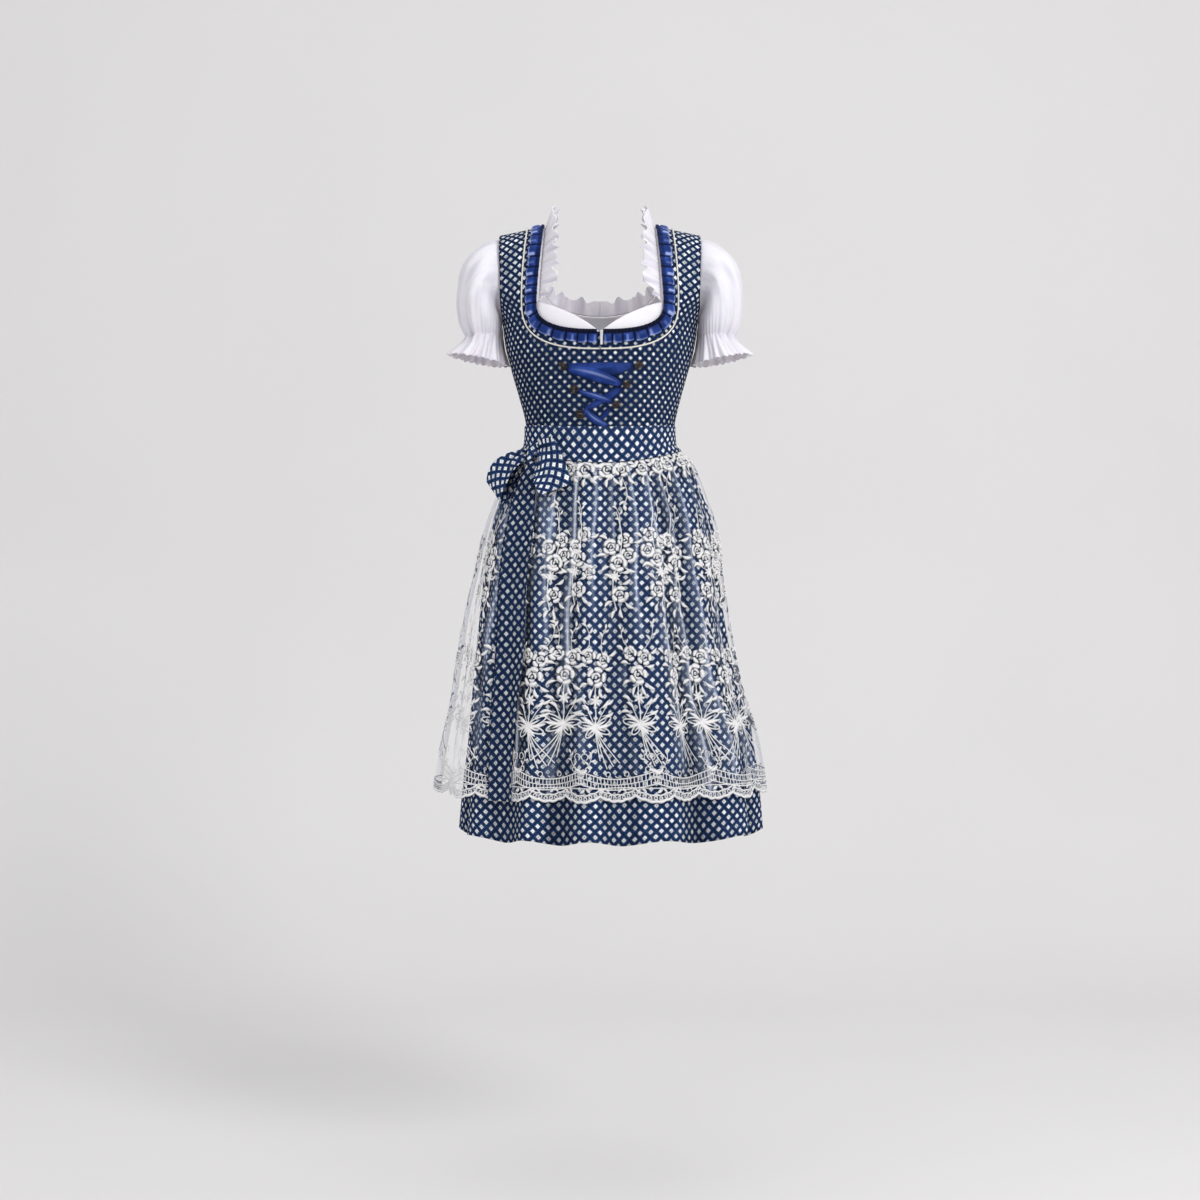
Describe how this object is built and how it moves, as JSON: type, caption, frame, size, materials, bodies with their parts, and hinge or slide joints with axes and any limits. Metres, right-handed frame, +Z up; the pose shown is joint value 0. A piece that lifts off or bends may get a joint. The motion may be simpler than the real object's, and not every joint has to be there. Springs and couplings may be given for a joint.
{
  "type": "dirndl",
  "caption": "Dirndl outfit in its hollow worn shape: laced bodice with ruffled neckline, gathered skirt, sheer scalloped apron tied in a side bow, and cropped blouse with puff sleeves",
  "frame": {"origin": "midway between the tops of the two shoulder straps, where the wearer's shoulders carry the dress", "axes": "+Z up, -Y towards the front of the garment, +X to the viewer's right in a front view"},
  "size_m": [0.5255, 0.4516, 0.9861],
  "materials": {
    "printed_cotton": "matt printed cotton",
    "blue_satin": "satin",
    "lace_tulle": "sheer embroidered tulle",
    "white_cotton": "matt fine cotton",
    "cream_piping": "matt",
    "antique_metal": "dark antiqued",
    "zip_metal": "bright"
  },
  "bodies": {
    "garment": {"bodice_front_left": "printed_cotton", "bodice_front_right": "printed_cotton", "bodice_back": "printed_cotton", "skirt_front": "printed_cotton", "skirt_back": "printed_cotton", "apron_band": "printed_cotton", "apron_tie": "printed_cotton", "bow_knot": "printed_cotton", "bow_loop_left": "printed_cotton", "bow_loop_right": "printed_cotton", "tie_tail": "printed_cotton", "tie_tail_under": "printed_cotton", "neck_ruffle_left": "blue_satin", "neck_ruffle_right": "blue_satin", "neck_ruffle_back": "blue_satin", "lace_bar": "blue_satin", "lace_over_top": "blue_satin", "lace_under_middle": "blue_satin", "lace_over_middle": "blue_satin", "lace_under_end": "blue_satin", "lace_loop": "blue_satin", "apron_skirt": "lace_tulle", "blouse_front": "white_cotton", "blouse_back": "white_cotton", "blouse_sleeve_left": "white_cotton", "blouse_sleeve_right": "white_cotton", "blouse_neck_frill_left": "white_cotton", "blouse_neck_frill_right": "white_cotton", "neck_piping_left": "cream_piping", "neck_piping_right": "cream_piping", "neck_piping_back": "cream_piping", "hook_left_top": "antique_metal", "hook_left_middle": "antique_metal", "hook_left_bottom": "antique_metal", "hook_right_top": "antique_metal", "hook_right_middle": "antique_metal", "hook_right_bottom": "antique_metal", "zip_slider": "zip_metal"},
    "zip_pull_tab": {"zip_tab": "zip_metal"}
  },
  "joints": [
    {"name": "zip_tab_swing", "type": "hinge", "parent": "garment", "child": "zip_pull_tab", "pos_m": [0.0023, -0.13269, -0.17085], "axis": [-0.9999, -0.0128, 0], "range_deg": [-5, 150]}
  ]
}
